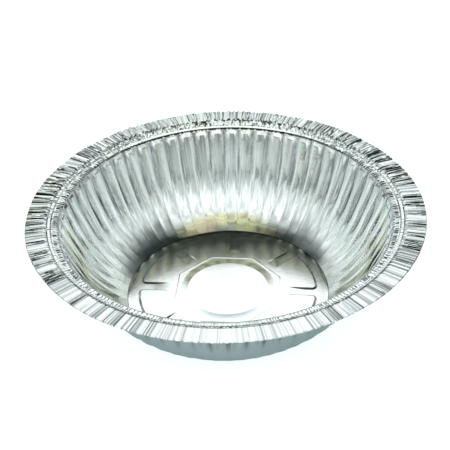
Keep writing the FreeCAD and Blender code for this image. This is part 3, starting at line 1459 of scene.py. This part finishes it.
    def floor_glow(self, tree: NodeTree) -> NodeSocket:
        """Light that the floor adds to views and reflections of it, less where the container shades it.

        Args:
            tree: The floor's node tree.

        Returns:
            The glow's shader.
        """
        rays = add_node(tree, "LightPath").outputs
        daylight = add_node(
            tree, "AmbientOcclusion", {"Distance": self.shade_reach * MM}, samples=8
        ).outputs["AO"]
        tints = []
        for shade in (self.shade_colour, self.seen_shade_colour):
            tint = add_node(tree, "ValToRGB", {"Fac": daylight})
            set_ramp(tint, [(0.0, shade), (self.open_share, self.open_colour)])
            tints.append(tint.outputs["Color"])
        squared = add_node(tree, "Math", {0: daylight, 1: 2.0}, operation="POWER").outputs[0]
        open_sky = add_node(tree, "Math", {0: squared, 1: self.covered_share}, operation="MAXIMUM").outputs[0]
        seen = add_node(
            tree, "Math", {0: rays["Is Camera Ray"], 1: rays["Is Transmission Ray"]}, operation="MAXIMUM"
        ).outputs[0]
        seen_fill = add_node(tree, "Math", {0: seen, 1: self.camera_fill}, operation="MULTIPLY").outputs[0]
        mirrored = add_node(
            tree, "Math", {0: rays["Is Glossy Ray"], 1: open_sky}, operation="MULTIPLY"
        ).outputs[0]
        fill = add_node(
            tree, "Math", {0: mirrored, 1: self.reflected_fill, 2: seen_fill}, operation="MULTIPLY_ADD"
        ).outputs[0]
        layers = {"Factor": seen, FIRST_COLOUR: tints[0], SECOND_COLOUR: tints[1]}
        colour = add_node(tree, "Mix", layers, data_type="RGBA").outputs[MIXED_COLOUR]
        return add_node(tree, "Emission", {"Color": colour, "Strength": fill}).outputs[0]

    def build_room(self) -> None:
        """Sets the world: sectors all round, each with bright walls under a dark ceiling."""
        world = bpy.data.worlds.new("studio_room")
        bpy.context.scene.world = world
        tree = fresh_tree(world)
        direction = add_node(tree, "TexCoord").outputs["Generated"]
        turned = add_node(
            tree,
            "VectorRotate",
            {"Vector": direction, "Angle": math.radians(-CAMERA_TURN)},
            rotation_type="Z_AXIS",
        ).outputs[0]
        tone = self.blend_sectors(tree, turned)
        room = add_node(tree, "Background", {"Color": tone, "Strength": self.room_strength}).outputs[0]
        plain = add_node(tree, "Background", {"Color": linear(self.open_colour), "Strength": 1.0}).outputs[0]
        seen = add_node(tree, "LightPath").outputs["Is Camera Ray"]
        backdrop = add_node(tree, "MixShader", {0: seen, 1: room, 2: plain}).outputs[0]
        add_node(tree, "OutputWorld", {"Surface": backdrop})

    def blend_sectors(self, tree: NodeTree, turned: NodeSocket) -> NodeSocket:
        """Blends the sectors into each other all round the room.

        Args:
            tree: The world's node tree.
            turned: Direction of the ray, turned to face the camera's side.

        Returns:
            Colour that the ray meets.
        """
        parts = add_node(tree, "SeparateXYZ", {0: turned}).outputs
        rise = add_node(tree, "Math", {0: parts["Z"]}, operation="ARCSINE").outputs[0]
        height = add_node(tree, "Math", {0: rise, 1: math.pi / 2}, operation="DIVIDE", use_clamp=True)
        share = height.outputs[0]
        around = add_node(tree, "Math", {0: parts["X"], 1: parts["Y"]}, operation="ARCTAN2").outputs[0]
        tones = self.sector_tones(tree, turned, share)
        tone = tones[0]
        for before, after, colour in zip(self.sectors, self.sectors[1:], tones[1:]):
            start = math.radians(before.bearing)
            end = math.radians(after.bearing)
            blend = add_node(tree, "MapRange", {"Value": around, "From Min": start, "From Max": end})
            layers = {"Factor": blend.outputs["Result"], FIRST_COLOUR: tone, SECOND_COLOUR: colour}
            tone = add_node(tree, "Mix", layers, data_type="RGBA").outputs[MIXED_COLOUR]
        return tone

    def sector_tones(self, tree: NodeTree, turned: NodeSocket, share: NodeSocket) -> list[NodeSocket]:
        """Colour of each sector at the height that a ray reaches, with its soft upright bands and patches.

        Args:
            tree: The world's node tree.
            turned: Direction of the ray, turned to face the camera's side.
            share: Height of the ray as a share of a right angle.

        Returns:
            One colour for each sector, in order.
        """
        upright = (1.0, 1.0, self.uneven_rise)
        tall = add_node(tree, "VectorMath", {0: turned, 1: upright}, operation="MULTIPLY").outputs[0]
        bands = {"Vector": tall, "Scale": self.uneven_scale, "Detail": 2.0}
        cloud = add_node(tree, "TexNoise", bands).outputs["Fac"]
        begin, finish = self.uneven_band
        low, high = self.uneven_range
        spread = {"Value": cloud, "From Min": begin, "From Max": finish, "To Min": low, "To Max": high}
        dim = add_node(tree, "MapRange", spread).outputs["Result"]
        patch, belt = self.patches(tree, turned, share)
        tones = []
        for sector in self.sectors:
            ramp = add_node(tree, "ValToRGB", {"Fac": share})
            set_ramp(ramp, [(height / 90, room_tone(*tone)) for height, *tone in sector.stops])
            tone = ramp.outputs["Color"]
            if sector.uneven:
                tone = add_node(tree, "VectorMath", {0: tone, "Scale": dim}, operation="SCALE").outputs[0]
            if sector.patched:
                layers = {"Factor": belt, FIRST_COLOUR: tone, SECOND_COLOUR: patch}
                tone = add_node(tree, "Mix", layers, data_type="RGBA").outputs[MIXED_COLOUR]
            tones.append(tone)
        return tones

    def patches(self, tree: NodeTree, turned: NodeSocket, share: NodeSocket) -> tuple[NodeSocket, NodeSocket]:
        """Small warm and green patches in a belt high up, as of things that stand round the room.

        Args:
            tree: The world's node tree.
            turned: Direction of the ray, turned to face the camera's side.
            share: Height of the ray as a share of a right angle.

        Returns:
            Colour of the patches, and how strongly they show.
        """
        spots = add_node(tree, "TexNoise", {"Vector": turned, "Scale": self.patch_scale, "Detail": 1.0})
        tone = add_node(tree, "ValToRGB", {"Fac": spots.outputs["Fac"]})
        set_ramp(tone, list(self.patch_stops))
        limits = []
        for begin, finish in (self.patch_from, self.patch_to[::-1]):
            reach = {"Value": share, "From Min": begin / 90, "From Max": finish / 90}
            limit = add_node(tree, "MapRange", reach, interpolation_type="SMOOTHSTEP")
            limits.append(limit.outputs["Result"])
        belt = add_node(tree, "Math", {0: limits[0], 1: limits[1]}, operation="MULTIPLY").outputs[0]
        shown = add_node(tree, "Math", {0: belt, 1: self.patch_strength}, operation="MULTIPLY").outputs[0]
        return tone.outputs["Color"], shown


@dataclass(frozen=True)
class StudioCamera:
    """Camera in front of the container, looking down into it."""

    focal_length: float = 80.2
    sensor_width: float = 36.0
    distance: float = 581.9
    elevation: float = 34.73
    roll: float = -2.12
    aim_right: float = -0.36
    aim_up: float = -7.73
    seat_height: float = 58.27

    def build(self) -> None:
        """Adds the camera and makes it the scene's own."""
        rise = math.radians(self.elevation)
        turn = math.radians(CAMERA_TURN)
        right = Vector((math.cos(turn), math.sin(turn), 0.0))
        ahead = Vector((-math.sin(turn), math.cos(turn), 0.0))
        up = ahead * math.sin(rise) + Vector((0.0, 0.0, math.cos(rise)))
        back = -ahead * math.cos(rise) + Vector((0.0, 0.0, math.sin(rise)))
        centre = Vector((0.0, 0.0, self.seat_height))
        place = centre + back * self.distance
        aim = centre + right * self.aim_right + up * self.aim_up
        data = bpy.data.cameras.new("studio_camera")
        data.lens = self.focal_length
        data.sensor_width = self.sensor_width
        camera = bpy.data.objects.new("studio_camera", data)
        bpy.context.scene.collection.objects.link(camera)
        look = (aim - place).to_track_quat("-Z", "Y").to_matrix().to_4x4()
        spin = Matrix.Rotation(math.radians(self.roll), 4, "Z")
        camera.matrix_world = Matrix.Translation(place * MM) @ look @ spin
        bpy.context.scene.camera = camera


def main() -> None:
    """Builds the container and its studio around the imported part."""
    logging.basicConfig(level=logging.INFO, format="%(message)s")
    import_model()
    scene = bpy.context.scene
    scene.view_settings.view_transform = "Standard"
    rim_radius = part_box(NODE)[1].x / MM
    StudioCamera().build()
    Studio().build()
    container = FoilContainer(rim_radius=rim_radius)
    piece = container.build()
    piece.data.materials.clear()
    piece.data.materials.append(RolledFoil().material())
    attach(piece, "root")
    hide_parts(NODE)
    LOG.info("%s: %d faces", piece.name, len(piece.data.polygons))


if __name__ == "__main__":
    main()
